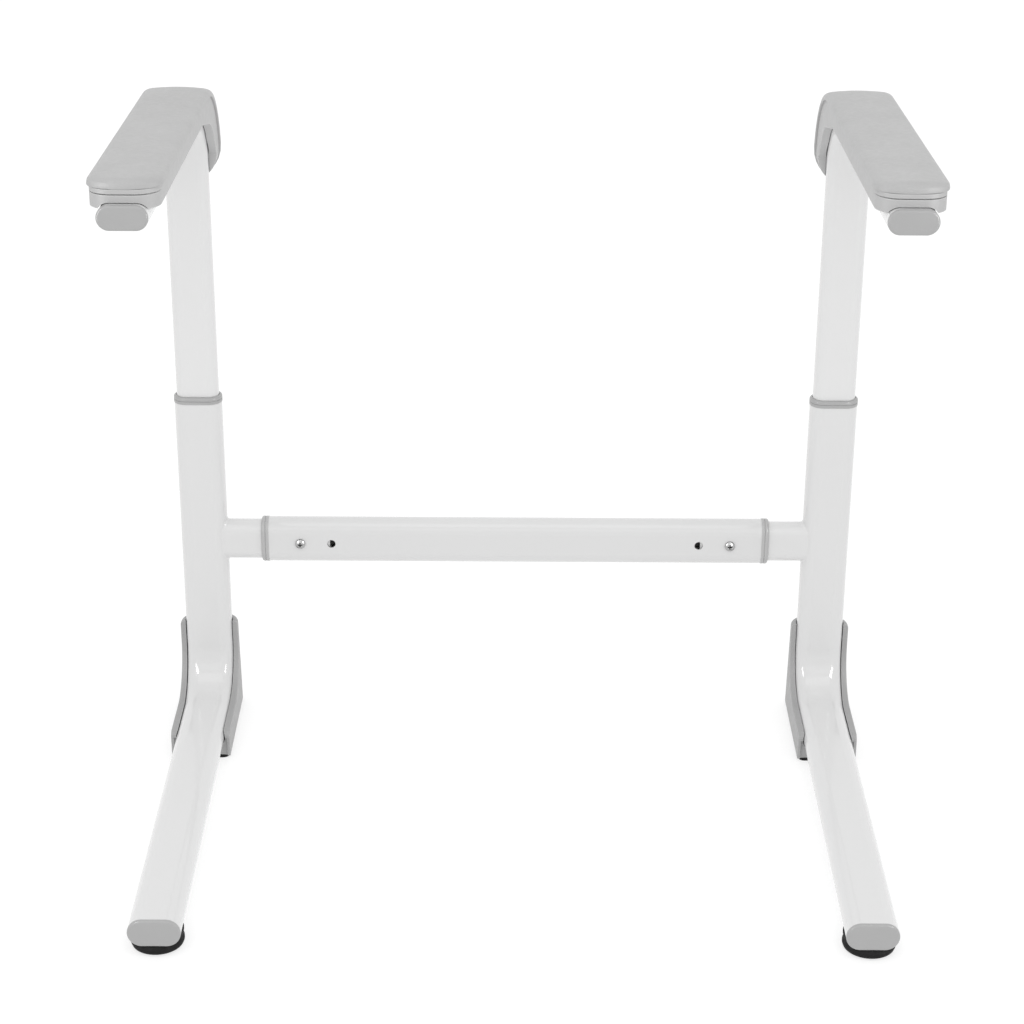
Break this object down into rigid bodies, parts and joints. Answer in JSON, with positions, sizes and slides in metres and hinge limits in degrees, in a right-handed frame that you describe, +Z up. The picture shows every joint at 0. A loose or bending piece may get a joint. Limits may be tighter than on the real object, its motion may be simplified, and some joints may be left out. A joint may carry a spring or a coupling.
{
  "type": "toilet safety frame",
  "caption": "Free-standing toilet safety frame: two C-shaped flat-oval tube side frames with padded armrests, height and width slides, joined by a low telescoping crossbar at the rear.",
  "frame": {"origin": "on the floor, under the middle of the frame's bounding box", "axes": "+X to the right seen from the open front, +Y away from the open front towards the posts, +Z up"},
  "size_m": [0.659, 0.4666, 0.6513],
  "materials": {
    "white_paint": "glossy powder coat",
    "white_plastic": "moulded, satin",
    "armrest_plastic": "moulded, satin",
    "armrest_foam": "soft moulded foam, fine grain",
    "black_rubber": "matt rubber",
    "white_screw": "painted screw",
    "steel_screw": "zinc plated",
    "zinc_steel": "zinc plated"
  },
  "bodies": {
    "crossbar": {"crossbar_sleeve": "white_paint", "crossbar_collar_left": "white_plastic", "width_screw_left": "white_screw", "width_lock_plate_left": "zinc_steel", "crossbar_collar_right": "white_plastic", "width_screw_right": "white_screw", "width_lock_plate_right": "zinc_steel"},
    "lower_left": {"lower_tube_left": "white_paint", "cross_stub_left": "white_paint", "weld_bead_left": "white_paint", "post_collar_left": "white_plastic", "foot_end_cap_left": "white_plastic", "heel_guard_left": "white_plastic", "guard_screws_left": "steel_screw", "heel_pad_left": "black_rubber", "rubber_foot_left": "black_rubber", "foot_screw_left": "steel_screw", "foot_nut_left": "zinc_steel", "height_screw_left": "white_screw", "height_lock_plate_left": "zinc_steel"},
    "arm_left": {"upper_tube_left": "white_paint", "glide_plug_left": "white_plastic", "arm_end_cap_left": "white_plastic", "armrest_base_left": "armrest_plastic", "armrest_cushion_left": "armrest_foam", "armrest_screws_left": "white_screw"},
    "lower_right": {"lower_tube_right": "white_paint", "cross_stub_right": "white_paint", "weld_bead_right": "white_paint", "post_collar_right": "white_plastic", "foot_end_cap_right": "white_plastic", "heel_guard_right": "white_plastic", "guard_screws_right": "steel_screw", "heel_pad_right": "black_rubber", "rubber_foot_right": "black_rubber", "foot_screw_right": "steel_screw", "foot_nut_right": "zinc_steel", "height_screw_right": "white_screw", "height_lock_plate_right": "zinc_steel"},
    "arm_right": {"upper_tube_right": "white_paint", "glide_plug_right": "white_plastic", "arm_end_cap_right": "white_plastic", "armrest_base_right": "armrest_plastic", "armrest_cushion_right": "armrest_foam", "armrest_screws_right": "white_screw"}
  },
  "joints": [
    {"name": "width_slide_left", "type": "slide", "parent": "crossbar", "child": "lower_left", "axis": [1, 0, 0], "range_m": [0, 0.03]},
    {"name": "height_slide_left", "type": "slide", "parent": "lower_left", "child": "arm_left", "axis": [0, 0, 1], "range_m": [0, 0.1]},
    {"name": "width_slide_right", "type": "slide", "parent": "crossbar", "child": "lower_right", "axis": [-1, 0, 0], "range_m": [0, 0.03]},
    {"name": "height_slide_right", "type": "slide", "parent": "lower_right", "child": "arm_right", "axis": [0, 0, 1], "range_m": [0, 0.1]}
  ]
}
